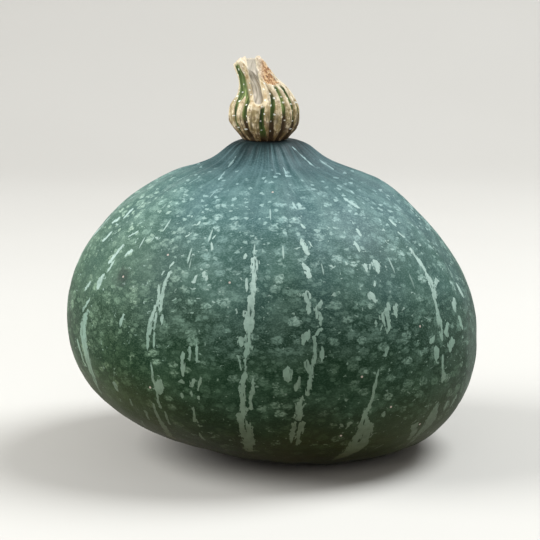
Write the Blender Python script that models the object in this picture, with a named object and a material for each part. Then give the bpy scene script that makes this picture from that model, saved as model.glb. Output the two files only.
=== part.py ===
"""A kabocha squash: the ribbed green fruit with its short neck, and the corky stem it was cut with.

Frame: metres, +Z up, the fruit resting on the plane Z = 0 with the object's box centred over the origin.
The view that shows the long scar on the stem is the front, and it looks along +Y.
Azimuths are in degrees from the front, growing towards +X.
"""

import math
import random

import bmesh
import bpy
import numpy as np

MM = 0.001

# Fruit, driving sizes
HALF_WIDTH = 90.0 * MM
DEPTH_SHARE = 0.975  # front to back, against side to side
CROWN_HEIGHT = 73.5 * MM  # from the widest level up to the dome, without the neck
CROWN_POWER = 1.99  # superellipse power of the upper half
BELLY_DEPTH = 57.0 * MM
BELLY_POWER = 2.55
NECK_HEIGHT = 7.6 * MM
NECK_RADIUS = 11.7 * MM  # the level seat that the stem grows from
NECK_SPREAD = 9.4 * MM
NECK_SHIFT = -1.9 * MM  # the neck stands a little left of the widest level
BASE_SHIFT = 2.2 * MM  # and the blossom end a little right of it
SAG_CROWN = 0.027  # how much lower the right side hangs, as a slope, at the top
SAG_MIDDLE = 0.044
SAG_BASE = 0.097
FACET_SLOPE = 0.25  # the flatter left flank of the base, that the fruit leaned on as it grew
FACET_DEPTH = 59.2 * MM  # how far under the widest level that flank would meet the middle
FACET_BLEND = 2.0 * MM
REST_DEPTH = 55.7 * MM  # how far under the widest level the skin is pressed flat where the fruit lies
REST_BLEND = 0.5 * MM
SCAR_DEPTH = 2.2 * MM  # the blossom scar's dimple, in the middle of the base
SCAR_RADIUS = 8.0 * MM

# Furrows between the fruit's lobes, in degrees from the front, with a depth share for each
FRONT_FURROWS = ((-65, 0.8), (-34, 0.9), (-5, 0.7), (14, 0.9), (35, 0.9), (57, 0.8), (76, 1.5))
BACK_FURROW_COUNT = 8
BACK_FURROW_STRAY = 3.0  # degrees that one of those may stand off its even place
BACK_FURROW_SHARES = (0.7, 1.1)
FURROW_SPAN = 7.0  # degrees from a furrow's middle to its edge
FURROW_DEPTH = 1.2 * MM
FURROW_EVERYWHERE = 0.3  # shares of that depth: all the way down, on the shoulder and beside the scar
FURROW_ON_SHOULDER = 0.7
FURROW_BY_SCAR = 0.5
SHOULDER_RADIUS = 46.0 * MM  # where the furrows are deepest
SHOULDER_WIDTH = 20.0 * MM
CROWN_FADE = (98, 62)  # polar angles between which the forms of the crown grow to full size
SCAR_FADE_IN = (140, 162)  # and those of the folds beside the scar
SCAR_FADE_OUT = (176, 168)
HUMP_HEIGHT = 2.2 * MM  # the one lobe that stands proud beside the neck
HUMP_AZIMUTH = 98.0
HUMP_RADIUS = 50.0 * MM
HUMP_SPAN = 22.0  # degrees
HUMP_WIDTH = 12.0 * MM
PLEAT_COUNTS = (31, 19)  # two ripples round the neck that make its fine folds
PLEAT_TURNS = (20, 75)  # degrees that each is turned by
PLEAT_DEPTH = 0.30 * MM
PLEAT_FADE = (55.0 * MM, 20.0 * MM)  # radii between which the folds grow to full depth
SEAT_FADE = 1.6  # the skin is plain on the stem's seat, and full of relief at this many of its radii
LUMP_HEIGHT = 0.55 * MM
LUMP_WAVES = 9
LUMP_TURNS = 6  # the most waves that go once round
SEED = 11

# Stem, driving sizes, measured from the middle of the neck's top
STEM_GAP = 0.3 * MM
STEM_STATIONS = (  # level sections: height, radius and the middle's place in x, in mm
    (0.0, 9.2, -1.2),
    (2.2, 11.1, -1.1),
    (5.0, 13.3, -1.2),
    (8.5, 14.6, -1.5),
    (12.0, 14.8, -1.6),
    (15.5, 14.0, -1.5),
    (19.0, 11.8, -1.1),
    (23.0, 10.0, -2.1),
    (27.0, 8.0, -4.6),
    (31.5, 7.4, -6.9),
    (38.0, 6.8, -9.3),
)
STEM_FURROWS = (-80, -57, -33, -3, 14, 35, 57, 77)  # azimuths of the furrows in front
BACK_STEM_FURROWS = 9
RIB_HEIGHT = 1.6 * MM
RIB_POWER = 0.7  # under 1 for broad ribs with narrow furrows
RIB_LEVEL = 0.65  # the share of a rib's height that lies under the stations' radius
RIB_FOOT = (-3.0 * MM, 4.0 * MM)  # heights between which the ribs rise
RIB_TOP = (46.0 * MM, 12.0 * MM)  # and between which they fade
BREAK_TOP = 35.8 * MM  # height of the torn face's rounded tip, and its middle's place in x
BREAK_TOP_X = -7.0 * MM
BREAK_TOP_CURVE = 9.0 * MM  # radius of the tip's rounding from left to right
BREAK_PLACE = 30.7 * MM  # height of the face's slope over the neck's middle
BREAK_RISE = (-0.8, 0.82)  # the slope's rise along x and along y
BREAK_FOOT = 24.2 * MM  # height of the face's lower edge
BREAK_BLEND = 1.2 * MM
BREAK_RELIEF = 0.6 * MM  # the roughness of the torn face
TORN_ACROSS = 1.4 * MM  # sizes of its splinters, and how far they slant
TORN_ALONG = 1.9 * MM
TORN_SLANT = 3.1 * MM
RIM_HALVINGS = 20
GROOVE_LOW = (-3.9 * MM, 18.2 * MM)  # x and height of the ends of the pith's channel, up the front
GROOVE_HIGH = (-8.3 * MM, 40.0 * MM)
GROOVE_HALF_WIDTH = 2.1 * MM
GROOVE_EDGE = (1.25, 0.75)  # half-widths at which its wall starts and ends
GROOVE_DEPTH = 1.1 * MM
WART_COUNT = 44
WART_HEIGHT = 0.5 * MM
WART_RINGS = (3, 24)  # the rings of the wall that may carry one

# Mesh sizes
FRUIT_SIDES = 96
FRUIT_RINGS = 40
RING_CROWDS = ((0, 17, 3.2), (180, 10, 2.0))  # polar angle, spread and extra rings of each crowd of them
SIDES_PER_RIB = 6
STEM_RINGS = 26
BREAK_RINGS = 5
SHARP_ANGLE = 40  # degrees between two faces from which their edge isn't shaded smooth

SKIN_GREEN = (0.045, 0.105, 0.068, 1.0)
SKIN_ROUGHNESS = 0.5
CORK_TAN = (0.47, 0.36, 0.22, 1.0)
CORK_ROUGHNESS = 0.8


def smoothstep(low, high, value):
    t = np.clip((value - low) / (high - low), 0.0, 1.0)
    return t * t * (3 - 2 * t)


def soft_max(value, floor, blend):
    """The larger of the two, with a smooth run of twice the blend's height where they meet."""
    over = floor - value
    mixed = value + (over + blend) ** 2 / (4 * blend)
    return np.where(over > blend, floor, np.where(over < -blend, value, mixed))


def angle_between(azimuth, other):
    """The signed difference of two azimuths in degrees, from -180 to 180."""
    return (azimuth - other + 180) % 360 - 180


def furrow_places():
    """Every furrow's azimuth and depth share: those in front as listed, those behind spread by rule."""
    draw = random.Random(SEED)
    first, last = FRONT_FURROWS[-1][0], FRONT_FURROWS[0][0] + 360
    step = (last - first) / (BACK_FURROW_COUNT + 1)
    behind = [
        (first + step * (i + 1) + BACK_FURROW_STRAY * draw.uniform(-1, 1), draw.uniform(*BACK_FURROW_SHARES))
        for i in range(BACK_FURROW_COUNT)
    ]
    return list(FRONT_FURROWS) + behind


def furrow_shape(azimuth):
    """The depth share along a furrow's middle, and 0 on the lobes."""
    shape = np.zeros_like(azimuth, dtype=float)
    for place, share in furrow_places():
        away = angle_between(azimuth, place) / FURROW_SPAN
        shape = np.maximum(shape, share * np.exp(-(away**2)))
    return shape


def waves(azimuth, polar, count, turns, seed):
    """A smooth random field over the fruit, mostly from -1 to 1: a few waves that run round and down it."""
    draw = random.Random(seed)
    field = np.zeros(np.broadcast(azimuth, polar).shape)
    for _ in range(count):
        around = draw.randint(1, turns)
        down = draw.uniform(-turns, turns)
        start = draw.uniform(0, 360)
        field += np.cos(np.radians(around * azimuth + down * polar + start))
    return field / math.sqrt(count)


def pleats(azimuth):
    """The fine folds of the neck, from -1 to 1."""
    one, other = (
        np.cos(np.radians(count * azimuth + turn)) for count, turn in zip(PLEAT_COUNTS, PLEAT_TURNS)
    )
    return (one + other) / 2


def outline(polar):
    """Radius and height of the turned outline, from 0 degrees at the neck to 180 at the blossom end."""
    sine, cosine = np.sin(np.radians(polar)), np.cos(np.radians(polar))
    upper = polar < 90
    power = np.where(upper, CROWN_POWER, BELLY_POWER)
    reach = np.where(upper, CROWN_HEIGHT, BELLY_DEPTH)
    radius = HALF_WIDTH * sine ** (2 / power)
    past_seat = np.maximum(radius, NECK_RADIUS)
    dome = (1 - (np.where(upper, past_seat, radius) / HALF_WIDTH) ** power) ** (1 / power)
    neck = NECK_HEIGHT * np.exp(-(((past_seat - NECK_RADIUS) / NECK_SPREAD) ** 2))
    return radius, np.sign(cosine) * reach * dome + np.where(upper, neck, 0)


def relief(azimuth, polar, radius):
    """How far the skin stands out from the turned outline: furrows, the hump, pleats and lumps."""
    upper = smoothstep(*CROWN_FADE, polar)
    on_shoulder = np.exp(-(((radius - SHOULDER_RADIUS) / SHOULDER_WIDTH) ** 2)) * upper
    by_scar = smoothstep(*SCAR_FADE_IN, polar) * smoothstep(*SCAR_FADE_OUT, polar)
    depth = FURROW_EVERYWHERE + FURROW_ON_SHOULDER * on_shoulder + FURROW_BY_SCAR * by_scar
    height = -FURROW_DEPTH * furrow_shape(azimuth) * depth
    across = angle_between(azimuth, HUMP_AZIMUTH) / HUMP_SPAN
    along = (radius - HUMP_RADIUS) / HUMP_WIDTH
    height += HUMP_HEIGHT * np.exp(-(across**2) - along**2) * upper
    on_neck = smoothstep(*PLEAT_FADE, radius) * upper
    height += PLEAT_DEPTH * pleats(azimuth) * on_neck
    height += LUMP_HEIGHT * waves(azimuth, polar, LUMP_WAVES, LUMP_TURNS, SEED)
    return height * smoothstep(NECK_RADIUS, NECK_RADIUS * SEAT_FADE, radius)


def fruit_points(polar, azimuth):
    """Points of the fruit's skin for arrays of polar angle and azimuth, standing on Z = 0."""
    radius, height = outline(polar)
    before, after = outline(np.maximum(polar - 0.2, 0)), outline(np.minimum(polar + 0.2, 180))
    run, drop = after[0] - before[0], before[1] - after[1]
    length = np.hypot(run, drop)
    bulge = relief(azimuth, polar, radius)
    radius, height = radius + bulge * drop / length, height + bulge * run / length

    share = height / np.where(height > 0, CROWN_HEIGHT + NECK_HEIGHT, BELLY_DEPTH)
    high, low = np.clip(share, 0, 1), np.clip(-share, 0, 1) ** 1.5
    x = radius * np.sin(np.radians(azimuth))
    y = -radius * np.cos(np.radians(azimuth)) * DEPTH_SHARE
    sag = SAG_MIDDLE + (SAG_BASE - SAG_MIDDLE) * low + (SAG_CROWN - SAG_MIDDLE) * high
    height = height - sag * (1 - smoothstep(0.75, 0.99, high)) * x
    x = x + BASE_SHIFT * low + NECK_SHIFT * high**1.5
    height = soft_max(height, -FACET_DEPTH - FACET_SLOPE * x, FACET_BLEND)
    height = soft_max(height + REST_DEPTH, 0, REST_BLEND)
    dimple = smoothstep(SCAR_RADIUS * 1.25, SCAR_RADIUS * 0.4, radius) * (polar > 90)
    return np.stack([x, y + 0 * x, height + SCAR_DEPTH * dimple], axis=-1)


def ring_angles(count):
    """Polar angles for the rings, close together by the neck and the blossom end."""
    fine = np.linspace(0, 180, 2001)
    density = np.ones_like(fine)
    for place, spread, extra in RING_CROWDS:
        density += extra * np.exp(-(((fine - place) / spread) ** 2))
    share = np.concatenate([[0], np.cumsum((density[1:] + density[:-1]) / 2)])
    return np.interp(np.linspace(0, share[-1], count), share, fine)


def skin(name, rings, bottom, top):
    """A closed mesh through rings of points from bottom to top, with one point closing each end."""
    bm = bmesh.new()
    loops = [[bm.verts.new(point) for point in ring] for ring in rings]
    for low, high in zip(loops, loops[1:]):
        for i in range(len(low)):
            j = (i + 1) % len(low)
            bm.faces.new((low[i], low[j], high[j], high[i]))
    for end, loop in ((bottom, loops[0]), (top, loops[-1])):
        tip = bm.verts.new(end)
        for i in range(len(loop)):
            bm.faces.new((loop[i], loop[(i + 1) % len(loop)], tip))
    bmesh.ops.recalc_face_normals(bm, faces=bm.faces)
    mesh = bpy.data.meshes.new(name)
    bm.to_mesh(mesh)
    bm.free()
    return mesh


def material(name, colour, roughness):
    made = bpy.data.materials.new(name)
    made.use_nodes = True
    shader = made.node_tree.nodes["Principled BSDF"]
    shader.inputs["Base Color"].default_value = colour
    shader.inputs["Roughness"].default_value = roughness
    return made


def place(name, mesh, finish):
    mesh.shade_smooth()
    mesh.set_sharp_from_angle(angle=math.radians(SHARP_ANGLE))
    mesh.materials.append(finish)
    made = bpy.data.objects.new(name, mesh)
    bpy.context.scene.collection.objects.link(made)
    return made


def make_fruit():
    angles = ring_angles(FRUIT_RINGS + 2)[1:-1]
    azimuth = np.arange(FRUIT_SIDES) * 360 / FRUIT_SIDES
    rings = fruit_points(angles[::-1, None], azimuth[None, :])
    bottom = fruit_points(np.array([180.0]), np.array([0.0]))[0]
    top = fruit_points(np.array([0.0]), np.array([0.0]))[0]
    mesh = skin("fruit", rings, bottom, top)
    return place("fruit", mesh, material("skin_green", SKIN_GREEN, SKIN_ROUGHNESS)), top


def station(height, column):
    """A column of the stem's stations at a height, on a smooth curve through the stations."""
    levels = np.array([s[0] for s in STEM_STATIONS]) * MM
    values = np.array([s[column] for s in STEM_STATIONS]) * MM
    slopes = np.gradient(values, levels)
    i = np.clip(np.searchsorted(levels, height) - 1, 0, len(levels) - 2)
    span = levels[i + 1] - levels[i]
    t = (height - levels[i]) / span
    start = (2 * t**3 - 3 * t**2 + 1) * values[i] + (t**3 - 2 * t**2 + t) * span * slopes[i]
    end = (3 * t**2 - 2 * t**3) * values[i + 1] + (t**3 - t**2) * span * slopes[i + 1]
    return start + end


def stem_furrows():
    """Every furrow's azimuth round the stem: those in front as listed, those behind evenly spread."""
    behind = np.linspace(STEM_FURROWS[-1], STEM_FURROWS[0] + 360, BACK_STEM_FURROWS + 2)[1:-1]
    return np.concatenate([STEM_FURROWS, behind])


def rib_phase(azimuth):
    """A whole number in each furrow, and a half on the back of each rib."""
    places = stem_furrows()
    wrapped = (azimuth - places[0]) % 360 + places[0]
    return np.interp(wrapped, np.append(places, places[0] + 360), np.arange(len(places) + 1))


def rib_azimuths(per_rib):
    """Azimuths round the stem with the same number on each rib, the first in a furrow."""
    places = stem_furrows()
    phases = np.arange(len(places) * per_rib) / per_rib
    return np.interp(phases, np.arange(len(places) + 1), np.append(places, places[0] + 360))


def rib_shape(azimuth):
    """From 0 in the furrows to 1 on the backs of the corky ribs."""
    return np.abs(np.sin(np.pi * rib_phase(azimuth))) ** RIB_POWER


def groove_shape(x, height):
    """1 on the floor of the pith's channel, seen from the front, and 0 outside it."""
    run, rise = GROOVE_HIGH[0] - GROOVE_LOW[0], GROOVE_HIGH[1] - GROOVE_LOW[1]
    right, above = x - GROOVE_LOW[0], height - GROOVE_LOW[1]
    share = np.clip((right * run + above * rise) / (run**2 + rise**2), 0, 1)
    away = np.hypot(right - share * run, above - share * rise)
    return smoothstep(*GROOVE_EDGE, away / GROOVE_HALF_WIDTH)


def wall(azimuth, height):
    """Place in plan of the stem's ribbed wall, with the pith's channel sunk into its front."""
    turn = np.radians(azimuth)
    ribs = RIB_HEIGHT * smoothstep(*RIB_FOOT, height) * smoothstep(*RIB_TOP, height)
    radius = station(height, 1) + ribs * (rib_shape(azimuth) - RIB_LEVEL)
    middle = station(height, 2)
    in_front = smoothstep(0.0, 0.3, np.cos(turn))
    radius = radius - GROOVE_DEPTH * in_front * groove_shape(middle + radius * np.sin(turn), height)
    return middle + radius * np.sin(turn), -radius * np.cos(turn)


def break_height(x, y):
    """Height of the torn face: a slope to the front and right, under a rounded tip, with the channel in it."""
    slope = BREAK_PLACE + BREAK_RISE[0] * x + BREAK_RISE[1] * y
    tip = BREAK_TOP - (x - BREAK_TOP_X) ** 2 / (2 * BREAK_TOP_CURVE)
    face = soft_max(-soft_max(-slope, -tip, BREAK_BLEND), BREAK_FOOT, BREAK_BLEND)
    torn = np.sin(x / TORN_ACROSS + 0.6) * np.sin(y / TORN_ALONG - x / TORN_SLANT + 1.1)
    channel = groove_shape(x, face)
    return face + BREAK_RELIEF * torn * (1 - channel) - GROOVE_DEPTH * channel


def rim_height(azimuth):
    """Where the stem's wall meets the torn face, found by halving."""
    low = np.full_like(azimuth, STEM_STATIONS[3][0] * MM)
    high = np.full_like(azimuth, STEM_STATIONS[-1][0] * MM)
    for _ in range(RIM_HALVINGS):
        middle = (low + high) / 2
        below = middle < break_height(*wall(azimuth, middle))
        low, high = np.where(below, middle, low), np.where(below, high, middle)
    return low


def stem_rings(azimuth, levels, shares):
    """Rings up the wall, at shares of its height there, and on over the torn face, at shares of its width."""
    rim = rim_height(azimuth)
    height = levels[:, None] * rim
    side = np.stack([*wall(azimuth, height), height + STEM_GAP], axis=-1)
    edge = np.stack(wall(azimuth, rim), axis=-1)
    middle = edge.mean(axis=0)
    x, y = np.moveaxis(middle + shares[:, None, None] * (edge - middle), -1, 0)
    return np.concatenate([side, np.stack([x, y, break_height(x, y) + STEM_GAP], axis=-1)])


def raise_warts(rings):
    """Pushes single points of the wall outwards: the small pale warts along its furrows."""
    draw = random.Random(SEED)
    middle = rings.mean(axis=1, keepdims=True)
    for _ in range(WART_COUNT):
        level = draw.randrange(*WART_RINGS)
        side = draw.randrange(rings.shape[1])
        away = rings[level, side] - middle[level, 0]
        rings[level, side] += away / np.linalg.norm(away) * WART_HEIGHT
    return rings


def make_stem(neck_top):
    shares = np.linspace(1, 0, BREAK_RINGS + 1)[1:-1]
    rings = stem_rings(rib_azimuths(SIDES_PER_RIB), np.linspace(0, 1, STEM_RINGS), shares)
    rings = raise_warts(rings) + np.array(neck_top)
    mesh = skin("stem", rings, rings[0].mean(axis=0), rings[-1].mean(axis=0))
    return place("stem", mesh, material("cork_tan", CORK_TAN, CORK_ROUGHNESS))


def centre_over_origin(parts):
    """Moves the meshes so that the object's box is centred over the origin."""
    corners = np.array([v.co for part in parts for v in part.data.vertices])
    middle = (corners.min(axis=0) + corners.max(axis=0)) / 2
    for part in parts:
        for vertex in part.data.vertices:
            vertex.co.x -= middle[0]
            vertex.co.y -= middle[1]


def main():
    for old in list(bpy.data.objects):
        bpy.data.objects.remove(old)
    fruit, neck_top = make_fruit()
    centre_over_origin([fruit, make_stem(neck_top)])


main()
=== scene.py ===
"""A kabocha squash in its looks: the mottled, striped skin and the corky stem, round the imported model.

Metres, +Z up, the camera looks along +Y. The forms are those of the solids, with finer relief.
Azimuths are in degrees from the front, growing towards +X. Polar angles run from 0 at the neck
to 180 at the blossom end.
"""

import itertools
import math
import random

import bpy
import numpy as np
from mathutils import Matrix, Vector


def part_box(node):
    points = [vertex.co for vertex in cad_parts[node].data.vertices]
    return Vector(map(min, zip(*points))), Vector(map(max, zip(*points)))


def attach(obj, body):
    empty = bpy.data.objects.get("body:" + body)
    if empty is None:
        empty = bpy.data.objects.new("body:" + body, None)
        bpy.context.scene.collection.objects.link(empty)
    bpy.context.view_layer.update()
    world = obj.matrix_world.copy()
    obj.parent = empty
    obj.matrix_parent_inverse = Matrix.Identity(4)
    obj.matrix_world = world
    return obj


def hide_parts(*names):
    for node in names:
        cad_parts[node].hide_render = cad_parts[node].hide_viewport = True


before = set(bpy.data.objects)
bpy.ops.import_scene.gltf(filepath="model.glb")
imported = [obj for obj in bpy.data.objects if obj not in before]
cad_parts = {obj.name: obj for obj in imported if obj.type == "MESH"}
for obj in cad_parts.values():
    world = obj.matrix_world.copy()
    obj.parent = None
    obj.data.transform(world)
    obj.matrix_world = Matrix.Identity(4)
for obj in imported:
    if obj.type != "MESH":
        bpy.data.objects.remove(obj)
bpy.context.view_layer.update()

MM = 0.001
SEED = 11

# Fruit, the solids' own sizes
HALF_WIDTH = 90.0 * MM
DEPTH_SHARE = 0.975  # front to back, against side to side
CROWN_HEIGHT = 73.5 * MM
CROWN_POWER = 1.99
BELLY_DEPTH = 57.0 * MM
BELLY_POWER = 2.55
NECK_HEIGHT = 7.6 * MM
NECK_RADIUS = 11.7 * MM
NECK_SPREAD = 9.4 * MM
NECK_SHIFT = -1.9 * MM
BASE_SHIFT = 2.2 * MM
SHIFT_POWER = 1.5
SAG_CROWN = 0.027  # how much lower the right side hangs, as a slope
SAG_MIDDLE = 0.044
SAG_BASE = 0.097
SAG_FADE = (0.75, 0.99)
FACET_SLOPE = 0.25
FACET_DEPTH = 59.2 * MM
FACET_BLEND = 2.0 * MM
REST_DEPTH = 55.7 * MM
REST_BLEND = 0.5 * MM
SCAR_DEPTH = 2.2 * MM
SCAR_RADIUS = 8.0 * MM
SCAR_EDGE = (1.25, 0.4)
SLOPE_STEP = 0.2  # degrees to either side over which the outline's slope is taken
FRONT_FURROWS = ((-65, 0.8), (-34, 0.9), (-5, 0.7), (14, 0.9), (35, 0.9), (57, 0.8), (76, 1.5))
BACK_FURROW_COUNT = 8
BACK_FURROW_STRAY = 3.0
BACK_FURROW_SHARES = (0.7, 1.1)
FURROW_SPAN = 7.0
FURROW_DEPTH = 1.2 * MM
FURROW_EVERYWHERE = 0.3
FURROW_ON_SHOULDER = 0.7
FURROW_BY_SCAR = 0.5
SHOULDER_RADIUS = 46.0 * MM
SHOULDER_WIDTH = 20.0 * MM
CROWN_FADE = (98, 62)
SCAR_FADE_IN = (140, 162)
SCAR_FADE_OUT = (176, 168)
HUMP_HEIGHT = 2.2 * MM
HUMP_AZIMUTH = 98.0
HUMP_RADIUS = 50.0 * MM
HUMP_SPAN = 22.0
HUMP_WIDTH = 12.0 * MM
PLEAT_COUNTS = (31, 19)
PLEAT_TURNS = (20, 75)
PLEAT_DEPTH = 0.30 * MM
PLEAT_FADE = (55.0 * MM, 20.0 * MM)
SEAT_FADE = 1.6
LUMP_HEIGHT = 0.55 * MM
LUMP_WAVES = 9
LUMP_TURNS = 6

# Fruit, finer: dents, the neck's folds, one pit, and one crease on the right shoulder
DENTS = ((0.22 * MM, 9, 1), (0.12 * MM, 21, 2))  # depth, cells to the radius, and seed
FOLD_DEPTH = 0.16 * MM
FOLD_CELLS = 16  # in each radian
FOLD_LENGTH = 16  # degrees down
FOLD_SEED = 3
PIT_DEPTH = 0.7 * MM
PIT_SPANS = (3.0, 2.6)  # degrees round and down
CREASE_DEPTH = 0.6 * MM
CREASE_AZIMUTH = 60
CREASE_LEAN = 6  # degrees down for each degree round
CREASE_SPAN = 3.0
CREASE_START = (20, 26)
CREASE_END = (42, 34)

# Stem, the solids' own sizes, measured from the middle of the neck's top
STEM_GAP = 0.3 * MM
STEM_STATIONS = (  # level sections: height, radius and the middle's place in x, in mm
    (0.0, 9.2, -1.2), (2.2, 11.1, -1.1), (5.0, 13.3, -1.2), (8.5, 14.6, -1.5), (12.0, 14.8, -1.6),
    (15.5, 14.0, -1.5), (19.0, 11.8, -1.1), (23.0, 10.0, -2.1), (27.0, 8.0, -4.6), (31.5, 7.4, -6.9),
    (38.0, 6.8, -9.3),
)
STEM_FURROWS = (-80, -57, -33, -3, 14, 35, 57, 77)
BACK_STEM_FURROWS = 9
RIB_HEIGHT = 1.6 * MM
RIB_LEVEL = 0.65
RIB_FOOT = (-3.0 * MM, 4.0 * MM)
RIB_TOP = (46.0 * MM, 12.0 * MM)
BREAK_TOP = 35.8 * MM
BREAK_TOP_X = -7.0 * MM
BREAK_TOP_CURVE = 9.0 * MM
BREAK_PLACE = 30.7 * MM
BREAK_RISE = (-0.8, 0.82)
BREAK_FOOT = 24.2 * MM
BREAK_BLEND = 1.2 * MM
BREAK_RELIEF = 0.6 * MM
TORN_ACROSS = 1.4 * MM
TORN_ALONG = 1.9 * MM
TORN_SLANT = 3.1 * MM
TORN_TURNS = (0.6, 1.1)
GROOVE_LOW = (-3.9 * MM, 18.2 * MM)
GROOVE_HIGH = (-8.3 * MM, 40.0 * MM)
GROOVE_HALF_WIDTH = 2.1 * MM
GROOVE_EDGE = (1.25, 0.75)
GROOVE_DEPTH = 1.1 * MM
GROOVE_FRONT = (0.0, 0.3)  # cosines of the azimuth between which it grows to full depth

# Stem, finer: narrow furrows that wander, rough cork and splinters, and small warts along the furrows
RIB_WALL = (0.35 * MM, 1.5 * MM)
RIB_WALL_SHARE = 0.7
WANDER = 1.6  # degrees
WANDER_RISE = 4.5 * MM
WANDER_LAG = 25
WRINKLES = ((0.20, 13, 6.0 * MM, 5), (0.15, 30, 3.0 * MM, 6))  # weight, cells round, their height and seed
CRACKS = (9, 3.5 * MM, 7)
CRACK_DEPTH = 0.55
CRACK_WIDTH = (0.25, 0.0)
CORK_LUMPS = (6, 2.6 * MM, 12)
CORK_LUMP_HEIGHT = 0.45
CRACKS_EVERYWHERE = 0.15
CRACKS_BY_FOOT = 0.6
CRACK_FADE = (11.0 * MM, 4.0 * MM)
SPLINTER_SIZE = (0.9 * MM, 1.5 * MM)
SPLINTERS = ((0.8, 1.0, 8), (0.5, 2.3, 9))  # weight, fineness and seed
CHANNEL_CALM = 0.85  # the share of the roughness that is missing in the pith's channel
WARTS_PER_FURROW = 9
WART_LOW = 4.0 * MM
WART_RUN = 30.0 * MM
WART_SIDES = (1, 4.5)  # degrees from the furrow's middle
WART_SIZES = (0.7, 1.15)
WART_RADIUS = 0.42 * MM
WART_HEIGHT = 0.36 * MM
WART_EDGE = 1.25

# Stem, colouring: the heights between which each front furrow is green, in mm, and where green ends
FURROW_GREENS = ((8, 30), (3, 36), (8, 27), (1, 18), (8, 21), (10, 26), (7, 25), (9, 22))
BACK_GREEN = (6, 28)
FURROW_CLOSING = 2.2  # mm that a furrow narrows by over its green part
NO_FURROW = 9.0
FLANK_WIDENING = 1.7

# Mesh sizes
FRUIT_SIDES = 400
FRUIT_RINGS = 210
RING_CROWDS = ((0, 17, 3.2), (180, 10, 2.0))  # polar angle, spread and extra rings of each crowd of them
SIDES_PER_RIB = 20
STEM_RINGS = 190
BREAK_RINGS = 44
BAKE_MARGIN = 0.01
FRUIT_WRAP = 13.0  # radii of the rings that the patterns along the meridians are wrapped round
STEM_WRAP = 14.0

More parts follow.
